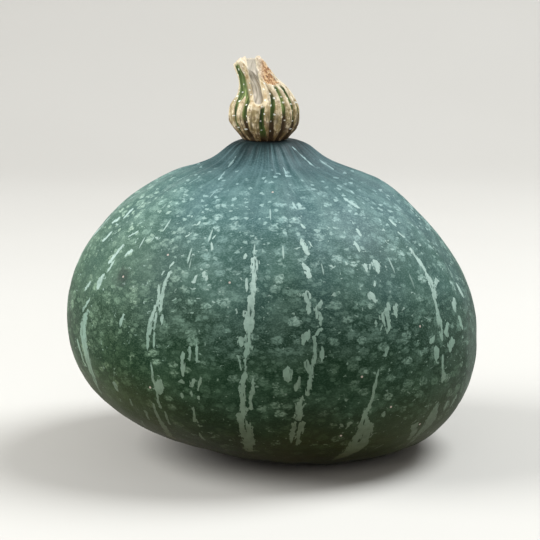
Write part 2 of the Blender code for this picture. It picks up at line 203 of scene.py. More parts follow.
# Pale marks: the scraps of the broken stripes and the streaks of the neck, from left to right. Each is a line
# of points from its top to its foot, each point a polar angle, an azimuth and a half-width in tenths of a mm
MARKS = (
    # Stripe on the left edge
    (58, -54, 8, 65, -56, 10), (64, -54, 6, 68, -55, 6), (69, -56, 10, 72, -57, 20, 74, -57, 12),
    (73, -62, 10, 76, -64, 12), (78, -60, 6, 83, -63, 11),
    (82, -60, 10, 86, -62, 20, 91, -63, 32, 99, -62, 28, 107, -62, 19, 116, -64, 9),
    (93, -68, 10, 102, -65, 10), (80, -44, 5, 84, -45, 11), (55, -67, 9, 59, -68, 10),
    (52, -51, 5, 55, -54, 6), (59, -49, 11, 61, -50, 11), (50, -71, 15, 52, -72, 15),
    (45, -68, 9, 49, -67, 10), (104, -49, 14, 108, -49, 7), (110, -44, 6, 114, -45, 6),
    # Second stripe, of thin strands
    (60, -31, 4, 62, -32, 6), (63, -33, 4, 65, -34, 4),
    (63, -31, 5, 67, -32, 10, 70, -32, 6, 72, -32, 11, 77, -32, 8), (78, -31, 10, 81, -31, 5),
    (68, -34, 4, 73, -33, 7, 77, -34, 8, 85, -35, 10, 90, -35, 5), (77, -33, 6, 82, -33, 4, 89, -33, 5),
    (93, -34, 4, 104, -33, 5, 111, -33, 8), (98, -31, 12, 100, -32, 24, 103, -32, 27),
    (109, -35, 4, 118, -36, 8, 123, -36, 16, 133, -39, 14, 141, -40, 6), (112, -32, 4, 121, -33, 5),
    (115, -40, 6, 121, -41, 7), (124, -46, 5, 135, -52, 6),
    # Scraps between the second stripe and the long one
    (45, -27, 4, 47, -28, 4), (49, -28, 4, 51, -30, 4), (52, -20, 4, 55, -19, 4), (49, -19, 4, 51, -20, 4),
    (63, -22, 4, 66, -23, 9), (62, -20, 8, 64, -20, 8), (63, -19, 6, 65, -19, 4), (89, -24, 9, 91, -24, 9),
    (91, -24, 12, 95, -24, 9), (87, -22, 5, 91, -22, 5), (86, -20, 5, 91, -20, 4),
    (96, -21, 11, 99, -22, 8), (100, -22, 4, 103, -22, 4), (95, -19, 4, 100, -20, 4),
    (102, -20, 5, 104, -20, 4), (107, -22, 5, 115, -23, 6), (113, -22, 3, 118, -22, 3),
    (122, -23, 5, 128, -23, 8), (102, -25, 9, 104, -25, 5),
    # The long stripe in front
    (56, -5, 8, 58, -5, 18, 60, -5, 11, 65, -5, 14, 68, -5, 10, 71, -6, 16, 75, -6, 24, 79, -6, 19,
      81, -6, 12, 85, -6, 15, 89, -7, 6), (63, -7, 4, 66, -7, 7, 68, -7, 4), (89, -7, 5, 92, -7, 5),
    (82, -8, 8, 84, -8, 14, 85, -8, 10), (55, -8, 6, 57, -8, 6), (88, -9, 4, 92, -8, 4),
    (92, -7, 8, 96, -8, 13, 105, -8, 13, 111, -9, 17, 115, -8, 30, 123, -8, 27, 134, -9, 19),
    (94, -5, 4, 97, -5, 11, 102, -6, 6, 106, -6, 8), (91, 4, 16, 92, 4, 18, 94, 4, 10),
    # Fifth stripe
    (43, 12, 4, 45, 13, 6), (49, 11, 4, 51, 11, 13, 54, 12, 15, 55, 12, 6), (49, 13, 3, 52, 14, 3),
    (58, 10, 7, 60, 11, 13, 63, 11, 7), (67, 10, 8, 69, 10, 19, 70, 10, 9, 74, 10, 9),
    (70, 14, 7, 73, 12, 12, 76, 13, 13), (76, 13, 4, 78, 13, 4),
    (79, 13, 13, 81, 11, 8, 88, 11, 8, 92, 10, 14, 94, 10, 9, 99, 9, 10), (79, 10, 6, 81, 9, 16, 84, 8, 5),
    (89, 9, 14, 91, 9, 8), (84, 13, 4, 87, 13, 9, 89, 13, 6), (93, 7, 6, 97, 6, 11),
    (99, 8, 5, 103, 7, 16, 110, 7, 16), (111, 6, 9, 120, 5, 10, 124, 5, 6),
    (111, 8, 12, 120, 7, 12, 126, 7, 6),
    # Sixth stripe, which ends in a broad patch
    (46, 34, 5, 48, 34, 8, 49, 34, 5), (51, 30, 6, 52, 30, 11, 55, 30, 4), (59, 30, 12, 61, 30, 8),
    (59, 32, 4, 61, 31, 5), (58, 34, 13, 59, 34, 18, 62, 34, 8), (64, 32, 5, 66, 31, 6),
    (68, 29, 10, 70, 29, 22, 71, 30, 10),
    (71, 34, 4, 73, 34, 12, 75, 32, 23, 77, 32, 23, 79, 33, 16, 81, 32, 5), (78, 31, 5, 80, 30, 4),
    (73, 36, 12, 76, 36, 8), (77, 29, 10, 78, 29, 7), (85, 32, 5, 88, 31, 13),
    (91, 29, 3, 96, 28, 7, 104, 27, 7, 107, 26, 12, 110, 26, 19, 113, 27, 40, 120, 27, 40, 127, 27, 46,
      133, 25, 28, 140, 22, 9), (107, 32, 8, 108, 32, 12, 109, 32, 7), (111, 22, 9, 115, 21, 4),
    (112, 19, 8, 114, 20, 7), (126, 37, 4, 130, 35, 5),
    # Seventh stripe
    (55, 53, 8, 57, 53, 11, 63, 54, 12, 67, 54, 20, 72, 54, 12), (67, 58, 22, 68, 56, 21),
    (70, 53, 6, 76, 53, 10, 80, 53, 16, 84, 53, 12, 86, 53, 6), (81, 57, 13, 83, 55, 17, 85, 56, 13),
    (87, 58, 30, 89, 57, 26), (84, 50, 8, 85, 48, 20, 86, 48, 10), (88, 50, 19, 90, 50, 22, 91, 50, 11),
    (90, 53, 6, 94, 53, 8, 97, 54, 20, 98, 53, 12),
    (106, 53, 8, 109, 52, 13, 111, 52, 32, 115, 52, 41, 119, 51, 30, 122, 50, 18, 130, 50, 5),
    (114, 46, 10, 115, 45, 22, 118, 46, 19, 125, 47, 7), (107, 58, 10, 111, 58, 11),
    (106, 64, 11, 110, 62, 11),
    # Right edge
    (70, 71, 12, 73, 72, 16, 75, 73, 12), (74, 64, 11, 76, 63, 20, 78, 63, 10), (80, 64, 11, 84, 65, 13),
    (101, 80, 16, 122, 81, 20),
    # Streaks of the neck and the shoulders
    (10, 44, 3, 13, 54, 5, 16, 56, 4), (15, 78, 4, 19, 76, 5), (13, -44, 2.5, 17, -42, 3),
    (19, -40, 2.5, 24, -36, 3), (16, 15, 3, 21, 14, 4), (34, 11, 5, 37, 12, 5), (34, 14, 6, 37, 14, 9),
    (41, 10, 6, 42, 10, 9), (29, 54, 8, 31, 52, 8), (33, 41, 9, 38, 43, 9), (44, 55, 8, 47, 55, 8),
    (49, 53, 8, 51, 54, 8),
)
MARK_GAP = 3.5  # degrees down from one mark to the next that keep the two apart
MARK_REACH = 10.0  # degrees round that do so
MARK_TIP = 2.0  # mm that its half-width shrinks by in each degree past its ends
MARK_NEAR = 6.5  # mm from a mark's middle line at which its field ends
MARK_FAR = 9.0

BACK_STRIPE_COUNT = 8

# Polar angle and azimuth of the tiny scabs, the first of them in the pit
SCABS = (
    (68, -48), (102, -35), (105, 34), (119, 20), (115, 47), (30, 2), (58, -34), (93, 24), (65, -12), (80, 44))

# Numbers that mix up a cell's place into a random one
HASH_PLACE = (374761393, 668265263, 69069)
HASH_SEED = 144269
HASH_MIX = 1274126177
HASH_BITS = 0xFFFFFFFF


def smoothstep(low, high, value):
    t = np.clip((value - low) / (high - low), 0.0, 1.0)
    return t * t * (3 - 2 * t)


def soft_max(value, floor, blend):
    """The larger of the two, with a smooth run of twice the blend's height where they meet."""
    over = floor - value
    mixed = value + (over + blend) ** 2 / (4 * blend)
    return np.where(over > blend, floor, np.where(over < -blend, value, mixed))


def angle_between(azimuth, other):
    """The signed difference of two azimuths in degrees, from -180 to 180."""
    return (azimuth - other + 180) % 360 - 180


def spots(*parts):
    """Points with the given parts, each an array or a number."""
    return np.stack(np.broadcast_arrays(*parts), axis=-1)


def value_noise(points, seed):
    """Smooth noise from -1 to 1 with cells of size 1, for an array of points."""
    cell = np.floor(points).astype(np.int64)
    part = points - cell
    part = part * part * (3 - 2 * part)
    total = np.zeros(points.shape[:-1])
    for corner in itertools.product((0, 1), repeat=3):
        key = (((cell + corner) * HASH_PLACE).sum(axis=-1) + seed * HASH_SEED) & HASH_BITS
        key = ((key ^ (key >> 13)) * HASH_MIX) & HASH_BITS
        key ^= key >> 16
        weight = np.prod(np.where(corner, part, 1 - part), axis=-1)
        total += weight * ((key & 0xFFFF) / (0xFFFF / 2) - 1)
    return total


def furrow_places():
    """Every furrow's azimuth and depth share: those in front as listed, those behind spread by rule."""
    draw = random.Random(SEED)
    first, last = FRONT_FURROWS[-1][0], FRONT_FURROWS[0][0] + 360
    step = (last - first) / (BACK_FURROW_COUNT + 1)
    behind = [
        (first + step * (i + 1) + BACK_FURROW_STRAY * draw.uniform(-1, 1), draw.uniform(*BACK_FURROW_SHARES))
        for i in range(BACK_FURROW_COUNT)
    ]
    return list(FRONT_FURROWS) + behind


def furrow_shape(azimuth):
    """The depth share along a furrow's middle, and 0 on the lobes."""
    shape = np.zeros_like(azimuth, dtype=float)
    for place, share in furrow_places():
        away = angle_between(azimuth, place) / FURROW_SPAN
        shape = np.maximum(shape, share * np.exp(-(away**2)))
    return shape


def lumps(azimuth, polar):
    """A smooth random field over the fruit, mostly from -1 to 1: a few waves that run round and down it."""
    draw = random.Random(SEED)
    field = np.zeros(np.broadcast(azimuth, polar).shape)
    for _ in range(LUMP_WAVES):
        around = draw.randint(1, LUMP_TURNS)
        down = draw.uniform(-LUMP_TURNS, LUMP_TURNS)
        start = draw.uniform(0, 360)
        field += np.cos(np.radians(around * azimuth + down * polar + start))
    return field / math.sqrt(LUMP_WAVES)


def pleats(azimuth):
    """The fine folds of the neck, from -1 to 1."""
    one, other = (
        np.cos(np.radians(count * azimuth + turn)) for count, turn in zip(PLEAT_COUNTS, PLEAT_TURNS)
    )
    return (one + other) / 2


def outline(polar):
    """Radius and height of the turned outline, from 0 degrees at the neck to 180 at the blossom end."""
    sine, cosine = np.sin(np.radians(polar)), np.cos(np.radians(polar))
    upper = polar < 90
    power = np.where(upper, CROWN_POWER, BELLY_POWER)
    reach = np.where(upper, CROWN_HEIGHT, BELLY_DEPTH)
    radius = HALF_WIDTH * sine ** (2 / power)
    past_seat = np.maximum(radius, NECK_RADIUS)
    dome = (1 - (np.where(upper, past_seat, radius) / HALF_WIDTH) ** power) ** (1 / power)
    neck = NECK_HEIGHT * np.exp(-(((past_seat - NECK_RADIUS) / NECK_SPREAD) ** 2))
    return radius, np.sign(cosine) * reach * dome + np.where(upper, neck, 0)


def relief(azimuth, polar, radius):
    """How far the skin stands out from the turned outline: furrows, the hump, pleats, lumps and finer."""
    upper = smoothstep(*CROWN_FADE, polar)
    on_shoulder = np.exp(-(((radius - SHOULDER_RADIUS) / SHOULDER_WIDTH) ** 2)) * upper
    by_scar = smoothstep(*SCAR_FADE_IN, polar) * smoothstep(*SCAR_FADE_OUT, polar)
    depth = FURROW_EVERYWHERE + FURROW_ON_SHOULDER * on_shoulder + FURROW_BY_SCAR * by_scar
    height = -FURROW_DEPTH * furrow_shape(azimuth) * depth
    across = angle_between(azimuth, HUMP_AZIMUTH) / HUMP_SPAN
    along = (radius - HUMP_RADIUS) / HUMP_WIDTH
    height += HUMP_HEIGHT * np.exp(-(across**2) - along**2) * upper
    on_neck = smoothstep(*PLEAT_FADE, radius) * upper
    height += PLEAT_DEPTH * pleats(azimuth) * on_neck
    height += LUMP_HEIGHT * lumps(azimuth, polar)
    height += fine_relief(azimuth, polar, on_neck)
    return height * smoothstep(NECK_RADIUS, NECK_RADIUS * SEAT_FADE, radius)


def fine_relief(azimuth, polar, on_neck):
    """The skin's small unevenness, which the solids leave out."""
    turn, tilt = np.radians(azimuth), np.radians(polar)
    unit = spots(np.sin(turn) * np.sin(tilt), -np.cos(turn) * np.sin(tilt), np.cos(tilt))
    height = sum(depth * value_noise(unit * cells, seed) for depth, cells, seed in DENTS)
    meridians = spots(np.cos(turn) * FOLD_CELLS, np.sin(turn) * FOLD_CELLS, polar / FOLD_LENGTH)
    height = height + FOLD_DEPTH * value_noise(meridians, FOLD_SEED) * on_neck
    pit_polar, pit_azimuth = SCABS[0]
    across, along = angle_between(azimuth, pit_azimuth) / PIT_SPANS[0], (polar - pit_polar) / PIT_SPANS[1]
    height = height - PIT_DEPTH * np.exp(-(across**2) - along**2)
    off_crease = angle_between(azimuth, CREASE_AZIMUTH + polar / CREASE_LEAN) / CREASE_SPAN
    crease = np.exp(-(off_crease**2)) * smoothstep(*CREASE_START, polar) * smoothstep(*CREASE_END, polar)
    return height - CREASE_DEPTH * crease


def fruit_points(polar, azimuth):
    """Points of the fruit's skin for arrays of polar angle and azimuth, standing on Z = 0."""
    radius, height = outline(polar)
    before = outline(np.maximum(polar - SLOPE_STEP, 0))
    after = outline(np.minimum(polar + SLOPE_STEP, 180))
    run, drop = after[0] - before[0], before[1] - after[1]
    length = np.hypot(run, drop)
    bulge = relief(azimuth, polar, radius)
    radius, height = radius + bulge * drop / length, height + bulge * run / length

    share = height / np.where(height > 0, CROWN_HEIGHT + NECK_HEIGHT, BELLY_DEPTH)
    high, low = np.clip(share, 0, 1), np.clip(-share, 0, 1) ** SHIFT_POWER
    x = radius * np.sin(np.radians(azimuth))
    y = -radius * np.cos(np.radians(azimuth)) * DEPTH_SHARE
    sag = SAG_MIDDLE + (SAG_BASE - SAG_MIDDLE) * low + (SAG_CROWN - SAG_MIDDLE) * high
    height = height - sag * (1 - smoothstep(*SAG_FADE, high)) * x
    x = x + BASE_SHIFT * low + NECK_SHIFT * high**SHIFT_POWER
    height = soft_max(height, -FACET_DEPTH - FACET_SLOPE * x, FACET_BLEND)
    height = soft_max(height + REST_DEPTH, 0, REST_BLEND)
    dimple = smoothstep(*SCAR_EDGE, radius / SCAR_RADIUS) * (polar > 90)
    return spots(x, y, height + SCAR_DEPTH * dimple)


def ring_angles(count):
    """Polar angles for the rings, close together by the neck and the blossom end."""
    fine = np.linspace(0, 180, 2001)
    density = np.ones_like(fine)
    for place, spread, extra in RING_CROWDS:
        density += extra * np.exp(-(((fine - place) / spread) ** 2))
    share = np.concatenate([[0], np.cumsum((density[1:] + density[:-1]) / 2)])
    return np.interp(np.linspace(0, share[-1], count), share, fine)


def front_marks():
    """The marks that the photograph shows, as lines of points with their half-widths in mm."""
    return [
        tuple(zip(mark[::3], mark[1::3], (tenths / 10 for tenths in mark[2::3]))) for mark in MARKS
    ]


def back_marks():
    """The scraps of the stripes that the front view hides, each stripe broken in its own way."""
    draw = random.Random(SEED + 3)
    first, last = 104, 292
    made = []
    for i in range(BACK_STRIPE_COUNT):
        azimuth = first + i * (last - first) / BACK_STRIPE_COUNT + draw.uniform(4, 12)
        polar = draw.uniform(44, 58)
        while polar < 140:
            wide = draw.uniform(0.5, 2.0) * (1.8 if polar > 110 else 1)
            place, long = azimuth + draw.uniform(-2, 2), draw.uniform(2, 14)
            half_way = polar + long * draw.uniform(0.3, 0.7)
            middle = (half_way, place + draw.uniform(-1, 1), wide)
            top = (polar, place, wide * draw.uniform(0.3, 0.9))
            foot = (polar + long, place, wide * draw.uniform(0.3, 0.8))
            made.append((top, middle, foot))
            polar += long + draw.uniform(1, 8)
    return made


def far_apart(line, other):
    """True if two marks are so far from each other that one field can hold both."""
    over = line[0][0] - other[-1][0] > MARK_GAP or other[0][0] - line[-1][0] > MARK_GAP
    between = min(abs(angle_between(one[1], two[1])) for one in line for two in other)
    return over or between > MARK_REACH


def marks_in_layers():
    """All marks, shared out into as few layers as keep the marks of each layer apart."""
    layers = []
    for line in front_marks() + back_marks():
        for layer in layers:
            if all(far_apart(line, other) for other in layer):
                layer.append(line)
                break
        else:
            layers.append([line])
    return layers


def mark_fields(marks, polar, azimuth, radius):
    """How far in mm each point is to a side of the nearest mark's middle line, and that mark's half-width."""
    away = np.full(np.broadcast(polar, azimuth).shape, MARK_FAR)
    half = np.full_like(away, -MARK_FAR)
    for line in marks:
        at, place, wide = (np.array(column, dtype=float) for column in zip(*line))
        off = np.radians(angle_between(azimuth, np.interp(polar, at, place))) * radius / MM
        past = np.maximum(np.maximum(at[0] - polar, polar - at[-1]), 0)
        width = np.interp(polar, at, wide) - MARK_TIP * past
        near = (np.abs(off) < MARK_NEAR) & (width - np.abs(off) > half - np.abs(away))
        away, half = np.where(near, off, away), np.where(near, width, half)
    return away, half


def closed_skin(name, rings, tips, fields, bake_rows):
    """A mesh through rings of points from low to high, closed by a tip at each end, with named fields."""
    count, sides = rings.shape[:2]
    points = np.concatenate([tips[:1], rings.reshape(-1, 3), tips[1:]])
    ring = 1 + np.arange(count)[:, None] * sides
    side = np.arange(sides)[None, :]
    following = (side + 1) % sides
    low, high = ring[:-1], ring[1:]
    corners = [low + side, low + following, high + following, high + side]
    faces = np.stack(corners, axis=-1).reshape(-1, 4).tolist()
    last, top = len(points) - 1, int(ring[-1, 0])
    faces += [(0, 1 + (i + 1) % sides, 1 + i) for i in range(sides)]
    faces += [(last, top + i, top + (i + 1) % sides) for i in range(sides)]
    mesh = bpy.data.meshes.new(name)
    mesh.from_pydata(points.tolist(), [], faces)
    for field, values in fields.items():
        flat = np.concatenate([values[:1].mean(axis=1), values.reshape(-1), values[-1:].mean(axis=1)])
        mesh.attributes.new(field, "FLOAT", "POINT").data.foreach_set("value", flat.astype(np.float32))
    layer = mesh.uv_layers.new(name="OFBake")
    layer.data.foreach_set("uv", bake_map(sides, bake_rows).astype(np.float32).reshape(-1))
    mesh.shade_smooth()
    return added(name, mesh)


def added(name, data):
    """A new object in the scene, with the given data."""
    made = bpy.data.objects.new(name, data)
    bpy.context.scene.collection.objects.link(made)
    return made


def bake_map(sides, rows):
    """A flat map for the corners of a closed skin's faces: round it from left to right, up it by the rows."""
    left = np.arange(sides)[None, :]
    right, low, high = left + 1, rows[:-1, None], rows[1:, None]
    quads = [(left, low), (right, low), (right, high), (left, high)]
    foot = [(left + 0.5, 0.0), (right, rows[0]), (left, rows[0])]
    top = [(left + 0.5, 1.0), (left, rows[-1]), (right, rows[-1])]
    return np.concatenate([
        np.stack([spots(across / (sides + 1), up) for across, up in corners], axis=2).reshape(-1, 2)
        for corners in (quads, foot, top)
    ])


def station(height, column):
    """A column of the stem's stations at a height, on a smooth curve through the stations."""
    levels = np.array([s[0] for s in STEM_STATIONS]) * MM
    values = np.array([s[column] for s in STEM_STATIONS]) * MM
    slopes = np.gradient(values, levels)
    i = np.clip(np.searchsorted(levels, height) - 1, 0, len(levels) - 2)
    span = levels[i + 1] - levels[i]
    t = (height - levels[i]) / span
    start = (2 * t**3 - 3 * t**2 + 1) * values[i] + (t**3 - 2 * t**2 + t) * span * slopes[i]
    end = (3 * t**2 - 2 * t**3) * values[i + 1] + (t**3 - t**2) * span * slopes[i + 1]
    return start + end


def stem_furrows():
    """Every furrow's azimuth round the stem: those in front as listed, those behind evenly spread."""
    behind = np.linspace(STEM_FURROWS[-1], STEM_FURROWS[0] + 360, BACK_STEM_FURROWS + 2)[1:-1]
    return np.concatenate([STEM_FURROWS, behind])


def rib_phase(azimuth):
    """A whole number in each furrow, and a half on the back of each rib."""
    places = stem_furrows()
    wrapped = (azimuth - places[0]) % 360 + places[0]
    return np.interp(wrapped, np.append(places, places[0] + 360), np.arange(len(places) + 1))


def rib_azimuths(per_rib):
    """Azimuths round the stem with the same number on each rib, the first in a furrow."""
    places = stem_furrows()
    phases = np.arange(len(places) * per_rib) / per_rib
    return np.interp(phases, np.arange(len(places) + 1), np.append(places, places[0] + 360))


def wander(azimuth, height):
    """How far to one side a furrow strays at a height, in degrees."""
    return WANDER * np.sin(height / WANDER_RISE + azimuth / WANDER_LAG)


def furrow_distance(azimuth, height):
    """How far round the stem the nearest furrow is, and that furrow's number."""
    wandered = azimuth + wander(azimuth, height)
    away = np.abs(angle_between(wandered[..., None], stem_furrows()))
    return np.radians(away.min(axis=-1)) * station(height, 1), away.argmin(axis=-1)


def rib_shape(azimuth, height):
    """From 0 on the furrows' floors to 1 on the backs of the corky ribs."""
    away, _ = furrow_distance(azimuth, height)
    back = np.abs(np.sin(np.pi * rib_phase(azimuth)))
    return RIB_WALL_SHARE * smoothstep(*RIB_WALL, away) + (1 - RIB_WALL_SHARE) * back


def groove_distance(x, height):
    """How many of its half-widths a point is from the middle of the pith's channel, seen from the front."""
    run, rise = GROOVE_HIGH[0] - GROOVE_LOW[0], GROOVE_HIGH[1] - GROOVE_LOW[1]
    right, above = x - GROOVE_LOW[0], height - GROOVE_LOW[1]
    share = np.clip((right * run + above * rise) / (run**2 + rise**2), 0, 1)
    return np.hypot(right - share * run, above - share * rise) / GROOVE_HALF_WIDTH


def groove_shape(x, height):
    """1 on the floor of the pith's channel, seen from the front, and 0 outside it."""
    return smoothstep(*GROOVE_EDGE, groove_distance(x, height))


def wart_places():
    """Azimuth, height and size of each wart: along the furrows, to either side of their middles."""
    draw = random.Random(SEED)
    places = []
    for furrow in stem_furrows():
        for i in range(WARTS_PER_FURROW):
            height = WART_LOW + (i + draw.uniform(0, 1)) * WART_RUN / WARTS_PER_FURROW
            azimuth = furrow + draw.choice((-1, 1)) * draw.uniform(*WART_SIDES)
            places.append((azimuth - wander(azimuth, height), height, draw.uniform(*WART_SIZES)))
    return places


def wart_shape(azimuth, height):
    """1 on a wart's top and 0 between the warts."""
    shape = np.zeros(np.broadcast(azimuth, height).shape)
    around = station(height, 1)
    for place, level, size in wart_places():
        off = np.radians(angle_between(azimuth, place)) * around
        away = np.hypot(off, height - level) / (WART_RADIUS * size)
        shape = np.maximum(shape, np.clip(WART_EDGE - away**2, 0, 1))
    return shape


def cork_noise(azimuth, height, around, along, seed):
    """Noise on the stem's wall, with the given number of cells in each radian and the height of a cell."""
    turn = np.radians(azimuth)
    return value_noise(spots(np.cos(turn) * around, np.sin(turn) * around, height / along), seed)


def stem_grain(azimuth, height):
    """Cork's unevenness in metres: wrinkles along the ribs, and lumps and cracks by the foot."""
    wrinkles = sum(weight * cork_noise(azimuth, height, *cells) for weight, *cells in WRINKLES)
    cracks = -CRACK_DEPTH * smoothstep(*CRACK_WIDTH, np.abs(cork_noise(azimuth, height, *CRACKS)))
    cracks = cracks + CORK_LUMP_HEIGHT * cork_noise(azimuth, height, *CORK_LUMPS)
    return (wrinkles + cracks * (CRACKS_EVERYWHERE + CRACKS_BY_FOOT * smoothstep(*CRACK_FADE, height))) * MM


def wall(azimuth, height):
    """Place in plan of the stem's ribbed wall, with the pith's channel sunk into its front."""
    turn = np.radians(azimuth)
    ribs = RIB_HEIGHT * smoothstep(*RIB_FOOT, height) * smoothstep(*RIB_TOP, height)
    radius = station(height, 1) + ribs * (rib_shape(azimuth, height) - RIB_LEVEL)
    middle = station(height, 2)
    channel = smoothstep(*GROOVE_FRONT, np.cos(turn)) * groove_shape(middle + radius * np.sin(turn), height)
    fine = stem_grain(azimuth, height) + WART_HEIGHT * wart_shape(azimuth, height)
    radius = radius - GROOVE_DEPTH * channel + fine * (1 - CHANNEL_CALM * channel)
    return middle + radius * np.sin(turn), -radius * np.cos(turn)


def break_height(x, y):
    """Height of the torn face: a slope facing front and right, under a rounded tip, with the channel."""
    slope = BREAK_PLACE + BREAK_RISE[0] * x + BREAK_RISE[1] * y
    tip = BREAK_TOP - (x - BREAK_TOP_X) ** 2 / (2 * BREAK_TOP_CURVE)
    face = soft_max(-soft_max(-slope, -tip, BREAK_BLEND), BREAK_FOOT, BREAK_BLEND)
    torn = np.sin(x / TORN_ACROSS + TORN_TURNS[0]) * np.sin(y / TORN_ALONG - x / TORN_SLANT + TORN_TURNS[1])
    fibres = spots(x / SPLINTER_SIZE[0], y / SPLINTER_SIZE[1], 0.0)
    for weight, fineness, seed in SPLINTERS:
        torn = torn + weight * value_noise(fibres * fineness, seed)
    channel = groove_shape(x, face)
    return face + BREAK_RELIEF * torn * (1 - CHANNEL_CALM * channel) - GROOVE_DEPTH * channel


def rim_height(azimuth):
    """Where the stem's wall meets the torn face, found by halving."""
    low = np.full_like(azimuth, STEM_STATIONS[3][0] * MM)
    high = np.full_like(azimuth, STEM_STATIONS[-1][0] * MM)
    for _ in range(20):
        middle = (low + high) / 2
        below = middle < break_height(*wall(azimuth, middle))
        low, high = np.where(below, middle, low), np.where(below, high, middle)
    return low


def furrow_colouring(nearest, height):
    """How green a furrow is along its length, and how many millimetres it narrows by over its green part."""
    ranges = np.array(FURROW_GREENS + (BACK_GREEN,) * BACK_STEM_FURROWS) * MM
    low, high = ranges[nearest, 0], ranges[nearest, 1]
    green = smoothstep(0.0 * MM, 4.0 * MM, height - low) * smoothstep(-1.0 * MM, 3.0 * MM, high - height)
    return green, FURROW_CLOSING * smoothstep(-1.0 * MM, 5.0 * MM, height - high)


def srgb(red, green, blue):
    """A linear colour from its 0 to 255 screen values."""
    shares = (value / 255 for value in (red, green, blue))
    linear = [share / 12.92 if share <= 0.04045 else ((share + 0.055) / 1.055) ** 2.4 for share in shares]
    return (*linear, 1.0)


class Shader:
    """A material's node tree, with short ways to add and join nodes. Lengths in its patterns are in mm."""

    def __init__(self, name):
        self.material = bpy.data.materials.new(name)
        self.material.use_nodes = True
        self.tree = self.material.node_tree
        self.surface = self.tree.nodes["Principled BSDF"]
        self.place = self.scaled(self.node("ShaderNodeTexCoord").outputs["Object"], (1 / MM,) * 3)

    def node(self, kind, inputs=(), **settings):
        made = self.tree.nodes.new(kind)
        for key, value in settings.items():
            setattr(made, key, value)
        for key, value in dict(inputs).items():
            self.join(value, made.inputs[key])
        return made

    def join(self, value, socket):
        """Links a node's output to the socket, or sets the socket to a plain value."""
        if isinstance(value, bpy.types.NodeSocket):
            self.tree.links.new(value, socket)
        else:
            socket.default_value = value

    def field(self, name):
        return self.node("ShaderNodeAttribute", attribute_name=name).outputs["Fac"]

    def math(self, operation, *values):
        return self.node("ShaderNodeMath", enumerate(values), operation=operation).outputs[0]

    def times(self, first, *others):
        """The product of all the values."""
        for value in others:
            first = self.math("MULTIPLY", first, value)
        return first

    def line(self, value, factor, base):
        """The value times a factor, plus a base."""
        return self.math("MULTIPLY_ADD", value, factor, base)

    def scaled(self, vector, factors):
        return self.node("ShaderNodeVectorMath", {0: vector, 1: factors}, operation="MULTIPLY").outputs[0]

    def shaken(self, vector, reach, *pattern):
        """The vector moved about by a noise of three parts, which gives its patterns ragged edges."""
        inputs = {0: self.noise(vector, *pattern, output="Color"), 1: (reach,) * 3, 2: vector}
        return self.node("ShaderNodeVectorMath", inputs, operation="MULTIPLY_ADD").outputs[0]

    def meridians(self, along, share):
        """A place round the surface and along it, for patterns that follow its meridians."""
        inputs = {"X": self.field("around_x"), "Y": self.field("around_y"), "Z": self.times(along, share)}
        return self.node("ShaderNodeCombineXYZ", inputs).outputs[0]

    def step(self, value, low, high, start=0.0, end=1.0):
        """The value's smooth change from start to end between low and high."""
        inputs = {"Value": value, "From Min": low, "From Max": high, "To Min": start, "To Max": end}
        return self.node("ShaderNodeMapRange", inputs, interpolation_type="SMOOTHSTEP").outputs["Result"]

    def mix(self, share, one, other, **settings):
        """One colour turning into the other as the share grows from 0 to 1."""
        inputs = {0: share, 6: one, 7: other}
        return self.node("ShaderNodeMix", inputs, data_type="RGBA", **settings).outputs[2]

    def paint(self, share, colour, screen_colour):
        """The colour turning into a plain one, given in screen values, as the share grows."""
        return self.mix(share, colour, srgb(*screen_colour))

    def noise(self, vector, size, detail=2.0, rough=0.5, warp=0.0, output="Fac"):
        """A cloudy noise with cells of the given size, detail octaves, and their roughness."""
        inputs = {"Vector": vector, "Scale": 1 / size, "Detail": detail, "Roughness": rough}
        inputs["Distortion"] = warp
        return self.node("ShaderNodeTexNoise", inputs).outputs[output]

    def cells(self, vector, size, spread=1.0):
        """Distance to the nearest cell's middle, in cells, and two random numbers of that cell's own."""
        inputs = {"Vector": vector, "Scale": 1 / size, "Randomness": spread}
        made = self.node("ShaderNodeTexVoronoi", inputs)
        split = self.node("ShaderNodeSeparateColor", {"Color": made.outputs["Color"]})
        return made.outputs["Distance"], split.outputs[0], split.outputs[1]

    def ramp(self, value, stops):
        """Colours in turn along a value; each stop is a position and a colour in screen values."""
        made = self.node("ShaderNodeValToRGB", {"Fac": value})
        made.color_ramp.interpolation = "EASE"
        while len(made.color_ramp.elements) < len(stops):
            made.color_ramp.elements.new(0.5)
        for element, (position, colour) in zip(made.color_ramp.elements, stops):
            element.position, element.color = position, srgb(*colour)
        return made.outputs["Color"]

    def completed(self, colour, roughness, height, bump_depth):
        """Gives the surface its colour, roughness and bump."""
        self.join(colour, self.surface.inputs["Base Color"])
        self.join(roughness, self.surface.inputs["Roughness"])
        bump = self.node("ShaderNodeBump", {"Height": height, "Distance": bump_depth, "Strength": 1.0})
        self.join(bump.outputs["Normal"], self.surface.inputs["Normal"])
        return self.material


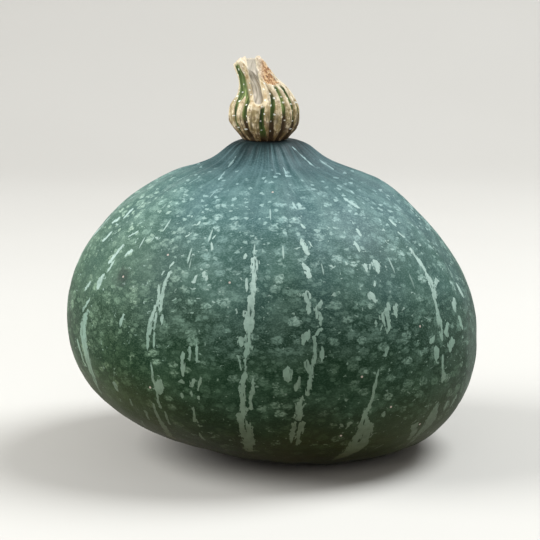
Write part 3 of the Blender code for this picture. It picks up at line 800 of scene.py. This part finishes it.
# Skin colours in screen values from the neck, 0, to the blossom end, 1: the ground, the soft spots,
# the stripes and the spots' bright cores, and the painted shade along the furrows. Their darkening towards
# the blossom end is partly the skin's own colour and partly painted shade. Their bluish crown is partly a
# painted sky reflection, and the ground's warm base is a painted reflection. Then its plain tints.
GROUND_COLOURS_WITH_SHADE = (
    (0.06, (50, 74, 76)), (0.20, (64, 94, 92)), (0.34, (59, 88, 78)), (0.44, (28, 53, 39)),
    (0.52, (10, 41, 20)), (0.64, (16, 32, 8)), (0.72, (32, 34, 8)), (0.82, (48, 43, 14)))
SPOT_COLOURS_WITH_SHADE = (
    (0.06, (112, 140, 142)), (0.25, (152, 182, 176)), (0.42, (124, 154, 139)), (0.54, (80, 106, 84)),
    (0.68, (48, 60, 33)), (0.85, (60, 60, 30)))
STRIPE_COLOURS_WITH_SHADE = (
    (0.10, (150, 176, 174)), (0.32, (174, 196, 186)), (0.48, (128, 154, 138)), (0.56, (112, 131, 112)),
    (0.66, (88, 99, 79)), (0.80, (80, 80, 50)))
FURROW_SHADE_COLOURS = ((0.20, (56, 84, 88)), (0.36, (44, 70, 70)), (0.50, (18, 46, 32)))
STEM_SHADE = (14, 24, 24)
SIDE_OLIVE = (92, 100, 62)
LEFT_TINT = (1.06, 1.02, 0.85, 1.0)
SMUDGE_COLOUR = (20, 34, 28)
SCAB_COLOUR = (216, 196, 184)

SKIN_SURFACE = {
    "Specular IOR Level": 0.11,
    "Sheen Weight": 0.022,
    "Sheen Roughness": 0.4,
    "Sheen Tint": (0.62, 0.84, 0.92, 1.0),
}


def skin_material(mark_layers, scabs):
    """The mottled, streaked, striped and scabbed skin. A step says where along its value a pattern starts and
    is full, and for some its share at both: down is the share of the way to the base, across is in mm."""
    s = Shader("kabocha_skin")
    down = s.math("DIVIDE", s.field("polar"), 180.0)
    squat = s.scaled(s.place, (1, 1, 1.5))
    meridian = s.meridians(s.field("polar"), 0.05)
    strands = s.scaled(meridian, (6.5, 6.5, 8))
    # The ramps darken towards the base, partly as painted shade, and turn bluish on the crown, partly as a
    # painted sky reflection
    level = s.math("ADD", down, s.line(s.noise(s.place, 30, 2), 0.16, -0.08))
    dark, pale, bright = (s.ramp(level, stops) for stops in (GROUND_COLOURS_WITH_SHADE, SPOT_COLOURS_WITH_SHADE, STRIPE_COLOURS_WITH_SHADE))

    # Soft pale blotches, wider than high, with ragged edges and a broken inside, fewer along the furrows
    off_neck = s.step(down, 0.10, 0.24)
    # Painted shade along the furrows, from the crown down to the middle, which also thins the blotches there
    furrow_shade = s.times(s.field("valley"), s.step(down, 0.12, 0.20), s.step(down, 0.56, 0.38))
    strokes = s.noise(squat, 1.3, 2, 0.6, 0.3)
    shaken = s.shaken(squat, 3.8, 2.0, 3, 0.65)
    away, chance, tone = s.cells(shaken, 5.9, 0.95)
    cloud = s.times(
        s.step(s.math("SUBTRACT", s.line(chance, 0.20, 0.30), away), -0.10, 0.12),
        s.step(strokes, 0.36, 0.58, 0.22, 1.0),
        s.step(s.noise(squat, 15, 2), 0.34, 0.56, 0.5, 1.0),
        s.line(furrow_shade, -0.6, 1.0),
        s.step(tone, 0.0, 1.0, 0.35, 1.0),
        off_neck,
    )

    # Small spots between them, and crisp ones on the crown
    near, _, tone_small = s.cells(shaken, 3.4, 1.0)
    small = s.times(s.step(near, 0.42, 0.28), off_neck, tone_small)
    on_crown = s.times(s.step(down, 0.07, 0.11), s.step(down, 0.40, 0.20))
    crisp = s.times(s.step(near, 0.33, 0.24), s.step(tone_small, 0.56, 0.72), on_crown)
    colour = s.mix(s.step(s.noise(squat, 10, 2), 0.42, 0.68, 0.0, 0.16), dark, pale)
    # Painted shade along the furrows
    colour = s.mix(s.times(furrow_shade, 0.55), colour, s.ramp(down, FURROW_SHADE_COLOURS))
    colour = s.mix(s.times(small, 0.40), colour, pale)
    colour = s.mix(s.times(cloud, 0.74), colour, pale)
    core = s.times(s.step(tone, 0.62, 0.92), s.step(strokes, 0.46, 0.60, 0.25, 0.75))
    colour = s.mix(s.times(cloud, core), colour, bright)
    colour = s.mix(s.times(crisp, 0.6), colour, bright)
    crinkle = s.noise(squat, 0.8, 2, 0.6)
    colour = s.mix(s.step(crinkle, 0.44, 0.68, 0.0, 0.21), colour, pale)
    colour = s.mix(s.step(crinkle, 0.48, 0.34, 0.0, 0.21), colour, dark)

    # Streaks that run down from the stem, and a dark ring in its shade
    streaks = s.step(s.noise(meridian, 0.8, 3, 0.65), 0.40, 0.75)
    colour = s.mix(s.times(streaks, s.step(down, 0.34, 0.05), 0.35), colour, pale)
    colour = s.paint(s.step(s.line(streaks, 0.016, down), 0.086, 0.048, 0.0, 0.85), colour, STEM_SHADE)

    # Both sides turn olive towards the base, and the left cheek is a warmer green
    across = s.node("ShaderNodeSeparateXYZ", {"Vector": s.place}).outputs["X"]
    by_side = s.step(s.math("ABSOLUTE", across), 20, 75)
    colour = s.paint(s.times(by_side, s.step(down, 0.50, 0.66, 0.0, 0.22)), colour, SIDE_OLIVE)
    colour = s.mix(s.step(across, -20, -75), colour, LEFT_TINT, blend_type="MULTIPLY")

    # Crisp small flecks, and dashes that follow the meridians over the shoulders
    fleck = s.times(s.step(s.noise(squat, 2.6, 2, 0.55, 0.5), 0.66, 0.72), off_neck)
    near, keep, _ = s.cells(s.scaled(meridian, (2.3, 2.3, 1.3)), 1.0)
    near = s.line(s.noise(strands, 1.0, 2), 0.16, near)
    on_shoulders = s.times(s.step(down, 0.42, 0.30), s.step(down, 0.06, 0.16))
    dash = s.times(s.step(near, 0.27, 0.22), s.step(keep, 0.80, 0.82), on_shoulders)
    marks = s.math("MAXIMUM", fleck, dash)
    colour = s.mix(s.times(marks, 0.7), colour, bright)

    # The broken stripes, with teeth and slits that follow the meridians
    teeth = s.line(s.noise(strands, 1.0, 2, 0.6), 4.4, -2.2)
    fringe = s.math("ADD", teeth, s.line(s.noise(s.place, 1.7, 2, 0.5), 2.8, -1.4))
    slits = s.step(s.noise(s.scaled(meridian, (5, 5, 3)), 1.0, 2, 0.6), 0.38, 0.34)
    stripe = 0.0
    for i in range(mark_layers):
        half = s.field(f"mark_half_{i}")
        inside = s.math("SUBTRACT", half, s.math("ABSOLUTE", s.field(f"mark_off_{i}")))
        torn_edge = s.times(fringe, s.step(half, 0.2, 1.8, 0.35, 1.0))
        whole = s.step(s.math("ADD", inside, torn_edge), -0.15, 0.15)
        unslit = s.math("SUBTRACT", 1.0, s.times(slits, s.step(half, 0.6, 1.4)))
        stripe = s.math("MAXIMUM", stripe, s.times(whole, unslit))
    worn = s.step(s.noise(s.place, 2.6, 3, 0.6), 0.25, 0.60, 0.62, 0.9)
    colour = s.mix(s.times(stripe, worn), colour, bright)

    # Tiny pale scabs, the first of them in a dark smudge
    reaches = [
        s.node("ShaderNodeVectorMath", {0: s.place, 1: tuple(scab)}, operation="DISTANCE").outputs["Value"]
        for scab in scabs
    ]
    smudge = s.line(s.noise(s.place, 2.4, 3, 0.6), 9.0, reaches[0])
    colour = s.paint(s.step(smudge, 10.5, 6.0, 0.0, 0.65), colour, SMUDGE_COLOUR)
    for reach in reaches:
        colour = s.paint(s.step(reach, 0.6, 0.3, 0.0, 0.7), colour, SCAB_COLOUR)

    for name, value in SKIN_SURFACE.items():
        s.surface.inputs[name].default_value = value
    raised = s.line(stripe, 0.3, s.times(cloud, 0.25))
    raised = s.line(marks, 0.2, s.line(crinkle, 0.5, raised))
    return s.completed(colour, s.line(s.noise(s.place, 0.8, 3, 0.6), 0.16, 0.44), raised, 0.2 * MM)


# Cork colours in screen values, along a noise
CREAMS = ((0.26, (150, 118, 78)), (0.40, (196, 166, 120)), (0.52, (226, 204, 164)), (0.70, (240, 226, 196)))
GREENS = ((0.34, (34, 52, 16)), (0.50, (78, 98, 36)), (0.64, (150, 164, 96)))
TORN_PALES = ((0.30, (170, 140, 108)), (0.45, (222, 200, 168)), (0.62, (242, 230, 212)))
TORN_BROWNS = (
    (0.36, (84, 50, 26)), (0.46, (170, 116, 62)), (0.58, (216, 176, 126)), (0.72, (238, 216, 184)))
PITHS = ((0.32, (152, 140, 120)), (0.50, (190, 178, 158)), (0.68, (216, 202, 184)))
HIGH_CREAM = (242, 228, 204)
BARE_FURROW = ((74, 54, 27), (176, 162, 122))
LIP_COLOUR = (232, 214, 180)
# The colour of the painted highlight along the pith channel's edges
GROOVE_EDGE_HIGHLIGHT = (238, 222, 188)
WART_COLOUR = (250, 248, 238)

# Layers on the ribs: each one's edge along its noise, and its colour
STAIN_LAYER = ((0.50, 0.66), (112, 80, 42))
CRUST_LAYER = ((0.58, 0.44), (122, 90, 42))
CRACK_LAYER = ((0.50, 0.43), (70, 50, 22))
OLIVE_LAYER = ((0.60, 0.44), (132, 122, 74))
GRAIN_LAYER = ((0.42, 0.30), (116, 86, 54))


def cork_material():
    """Corky ribs, green and bare furrows, the torn face, the channel and the warts, by height in mm."""
    s = Shader("corky_stem")
    height = s.field("height")
    ribwise = s.meridians(height, 0.16)
    grain = s.noise(ribwise, 0.7, 3, 0.65)
    patches = s.noise(s.place, 3.0, 3, 0.6)

    # Ribs: cream backs, tan and brown patches, darker towards the foot
    cream = s.ramp(patches, CREAMS)
    cork = s.paint(s.step(height, 12, 24, 0.0, 0.45), cream, HIGH_CREAM)
    stains = s.math("ADD", s.noise(s.place, 2.2, 3, 0.6), s.step(height, 10, 2, 0.0, 0.13))
    crusts = s.noise(s.scaled(s.place, (1, 1, 0.5)), 1.5, 3, 0.65)
    layers = (
        (stains, STAIN_LAYER, s.step(height, 24, 8, 0.35, 0.85)),
        (crusts, CRUST_LAYER, s.step(height, 13, 4, 0.0, 0.55)),
        (s.noise(ribwise, 1.5, 2, 0.5), CRACK_LAYER, s.step(height, 15, 9, 0.0, 0.8)),
        (patches, OLIVE_LAYER, s.times(s.step(height, 20, 12, 0.1, 0.55), s.step(height, 2, 9, 0.3, 1.0))),
        (grain, GRAIN_LAYER, 0.6),
    )
    for pattern, (edge, colour), share in layers:
        cork = s.paint(s.times(s.step(pattern, *edge), share), cork, colour)

    # Furrows: green with a paler edge in places, bare below and above
    edge = s.line(s.noise(ribwise, 1.6, 3, 0.6), s.step(height, 11, 3, 1.5, 2.0), 0.15)
    inside = s.math("SUBTRACT", edge, s.field("furrow"))
    green = s.ramp(s.noise(ribwise, 2.4, 2), GREENS)
    bare = s.mix(s.step(height, 16, 24), *(srgb(*colour) for colour in BARE_FURROW))
    floor = s.mix(s.field("green"), bare, green)
    colour = s.mix(s.step(inside, -0.12, 0.12), cork, floor)

    # The torn face: pale fibres, orange and brown to the right
    torn = s.noise(s.scaled(s.place, (1.3, 1, 0.55)), 1.4, 4, 0.6, 0.5)
    wood = s.mix(s.step(s.field("across"), -4.8, -0.8), s.ramp(torn, TORN_PALES), s.ramp(torn, TORN_BROWNS))
    colour = s.mix(s.field("broken"), colour, wood)
    colour = s.paint(s.times(s.field("lip"), 0.7), colour, LIP_COLOUR)

    # The pith's channel, in a cream strip with a painted highlight along its edges, and the warts
    colour = s.mix(s.times(s.field("groove_side"), 0.9), colour, cream)
    pith = s.ramp(s.noise(ribwise, 1.0, 3), PITHS)
    colour = s.mix(s.step(s.field("pith"), 0.35, 0.75), colour, pith)
    # A painted highlight along the channel's edges
    colour = s.paint(s.step(s.field("groove_edge_highlight"), 0.35, 0.9, 0.0, 0.9), colour, GROOVE_EDGE_HIGHLIGHT)
    colour = s.paint(s.step(s.field("wart"), 0.25, 0.55), colour, WART_COLOUR)
    crumbs = s.line(grain, 0.9, s.times(s.noise(s.place, 0.5, 3, 0.6), 0.5))
    return s.completed(colour, s.line(grain, 0.25, 0.52), crumbs, 0.7 * MM)


FLOOR_COLOURS = ((0.52, 0.49, 0.45, 1.0), (0.56, 0.53, 0.49, 1.0))  # in linear light

# Lights: name, place, size, power and colour
LIGHTS = (
    ("sky_left", (-1.2, -0.1, 0.9), 1.1, 26.0, (0.94, 0.98, 1.0)),
    ("sky_right", (0.75, 0.3, 1.3), 0.9, 29.0, (0.90, 0.96, 1.0)),
    ("front_fill", (-0.1, -1.6, 0.8), 1.2, 3.6, (1.0, 0.97, 0.90)),
)
LIGHT_AIM = (0.0, 0.0, 0.08)

# Camera: its place by degrees above the horizon, and the width that its frame takes in at the aim
CAMERA_ELEVATION = 10.0
CAMERA_DISTANCE = 1.0
CAMERA_AIM = Vector((-0.00104, 0.0, 0.0785))
FRAME_WIDTH = 0.2377


def floor_material():
    s = Shader("studio_floor")
    s.join(s.mix(s.noise(s.place, 300, 2), *FLOOR_COLOURS), s.surface.inputs["Base Color"])
    s.surface.inputs["Roughness"].default_value = 0.75
    return s.material


def offset_to(node, points):
    """The shift in plan that brings the middle of the points' box to the middle of the CAD node's box."""
    low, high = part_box(node)
    offset = np.zeros(3)
    for axis in (0, 1):
        middle = (points[:, axis].min() + points[:, axis].max()) / 2
        offset[axis] = (low[axis] + high[axis]) / 2 - middle
    return offset


def around_fields(azimuth, wrap, whole):
    """Each point's place on a ring of the given radius, for the patterns that follow the meridians."""
    turn = np.radians(azimuth)
    return {"around_x": np.cos(turn) * wrap + whole, "around_y": np.sin(turn) * wrap + whole}


def make_fruit():
    """Makes the fruit and returns the middle of its neck's top."""
    polar = ring_angles(FRUIT_RINGS + 2)[1:-1][::-1, None]
    azimuth = (np.arange(FRUIT_SIDES) * 360 / FRUIT_SIDES)[None, :]
    rings = fruit_points(polar, azimuth)
    ends = fruit_points(np.array([180.0, 0.0]), np.zeros(2))
    offset = offset_to("fruit", np.concatenate([rings.reshape(-1, 3), ends]))
    rings, ends = rings + offset, ends + offset
    scabs = fruit_points(*np.array(SCABS, dtype=float).T) + offset
    whole = np.zeros(rings.shape[:2])
    fields = {"polar": polar + whole, "valley": np.minimum(furrow_shape(azimuth), 1.0) + whole}
    fields.update(around_fields(azimuth, FRUIT_WRAP, whole))
    radius = outline(polar)[0]
    layers = marks_in_layers()
    for i, marks in enumerate(layers):
        fields[f"mark_off_{i}"], fields[f"mark_half_{i}"] = mark_fields(marks, polar, azimuth, radius)
    rows = BAKE_MARGIN + (1 - 2 * BAKE_MARGIN) * (180 - polar[:, 0]) / 180
    made = closed_skin("fruit_skin", rings, ends, fields, rows)
    made.data.materials.append(skin_material(len(layers), scabs / MM))
    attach(made, "root")
    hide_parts("fruit")
    return ends[1]


def make_stem(neck_top):
    azimuth = rib_azimuths(SIDES_PER_RIB)
    rim = rim_height(azimuth)
    height = np.linspace(0, 1, STEM_RINGS)[:, None] * rim
    around = azimuth + 0 * height
    side = spots(*wall(around, height), height + STEM_GAP)
    edge = side[-1, :, :2]
    shares = np.linspace(1, 0, BREAK_RINGS + 1)[1:-1, None]
    middle = edge.mean(axis=0)
    x, y = np.moveaxis(middle + shares[..., None] * (edge - middle), -1, 0)
    face = spots(x, y, break_height(x, y) + STEM_GAP)

    away, nearest = furrow_distance(around, height)
    green, closing = furrow_colouring(nearest, height)
    flank = smoothstep(-34, -46, around) * smoothstep(-110, -85, around)
    flank = flank * smoothstep(15.0 * MM, 21.0 * MM, height)
    in_front = np.cos(np.radians(around)) > 0
    on_side, on_face = groove_shape(side[..., 0], height) * in_front, groove_shape(x, face[..., 2])
    beside = smoothstep(2.0, 1.5, groove_distance(side[..., 0], height)) * in_front
    values = {  # each field's values on the wall, and on the torn face
        "furrow": (away / MM + closing * (1 - flank) - FLANK_WIDENING * flank, NO_FURROW),
        "green": (np.maximum(green, smoothstep(0.0, 0.3, flank)), 0),
        "height": (height / MM, face[..., 2] / MM),
        "across": (side[..., 0] / MM, x / MM),
        "broken": (0, 1),
        "pith": (on_side, on_face),
        "lip": (smoothstep(1.3 * MM, 0.4 * MM, rim - height), smoothstep(0.86, 0.97, shares)),
        # The channel's edges, where a highlight is painted
        "groove_edge_highlight": (4 * on_side * (1 - on_side), 4 * on_face * (1 - on_face)),
        "groove_side": (beside, 0),
        "wart": (wart_shape(around, height) * (1 - on_side), 0),
    }
    fields = {
        name: np.concatenate([on_wall + 0 * height, on_break + 0 * x])
        for name, (on_wall, on_break) in values.items()
    }
    rings = np.concatenate([side, face]) + neck_top
    fields.update(around_fields(azimuth, STEM_WRAP, 0 * rings[..., 0]))
    tips = np.stack([rings[0].mean(axis=0), rings[-1].mean(axis=0)])
    rows = np.linspace(BAKE_MARGIN, 1 - BAKE_MARGIN, len(rings))
    made = closed_skin("stem_cork", rings, tips, fields, rows)
    made.data.materials.append(cork_material())
    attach(made, "root")
    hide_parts("stem")


def make_stage():
    """A floor that bends up into a backdrop behind the squash."""
    half_width, front, back, radius, top = 4.0, -2.2, 0.9, 0.7, 2.4
    turns = np.linspace(0, math.pi / 2, 17)
    bend = [(back + radius * math.sin(turn), radius * (1 - math.cos(turn))) for turn in turns]
    curve = [(front, 0.0), *bend, (back + radius, top)]
    points = [(x, y, z) for y, z in curve for x in (-half_width, half_width)]
    faces = [(2 * i, 2 * i + 1, 2 * i + 3, 2 * i + 2) for i in range(len(curve) - 1)]
    mesh = bpy.data.meshes.new("floor")
    mesh.from_pydata(points, [], faces)
    mesh.shade_smooth()
    mesh.materials.append(floor_material())
    added("floor", mesh)


def make_lights():
    for name, place, size, power, colour in LIGHTS:
        light = bpy.data.lights.new(name, "AREA")
        light.shape, light.size, light.energy, light.color = "DISK", size, power, colour
        lamp = added(name, light)
        lamp.location = place
        lamp.rotation_euler = (Vector(LIGHT_AIM) - Vector(place)).to_track_quat("-Z", "Y").to_euler()
    world = bpy.data.worlds.new("studio")
    world.use_nodes = True
    background = world.node_tree.nodes["Background"]
    background.inputs["Color"].default_value = (0.96, 0.98, 1.0, 1.0)
    background.inputs["Strength"].default_value = 0.35
    bpy.context.scene.world = world


def make_camera():
    elevation = math.radians(CAMERA_ELEVATION)
    data = bpy.data.cameras.new("camera")
    data.lens = data.sensor_width * CAMERA_DISTANCE / FRAME_WIDTH
    data.clip_end = 20.0
    camera = added("camera", data)
    back = Vector((0, -math.cos(elevation), math.sin(elevation)))
    camera.location = CAMERA_AIM + CAMERA_DISTANCE * back
    camera.rotation_euler = (math.radians(90) - elevation, 0, 0)
    bpy.context.scene.camera = camera


neck_top = make_fruit()
make_stem(neck_top)
make_stage()
make_lights()
make_camera()
bpy.context.scene.view_settings.view_transform = "Standard"
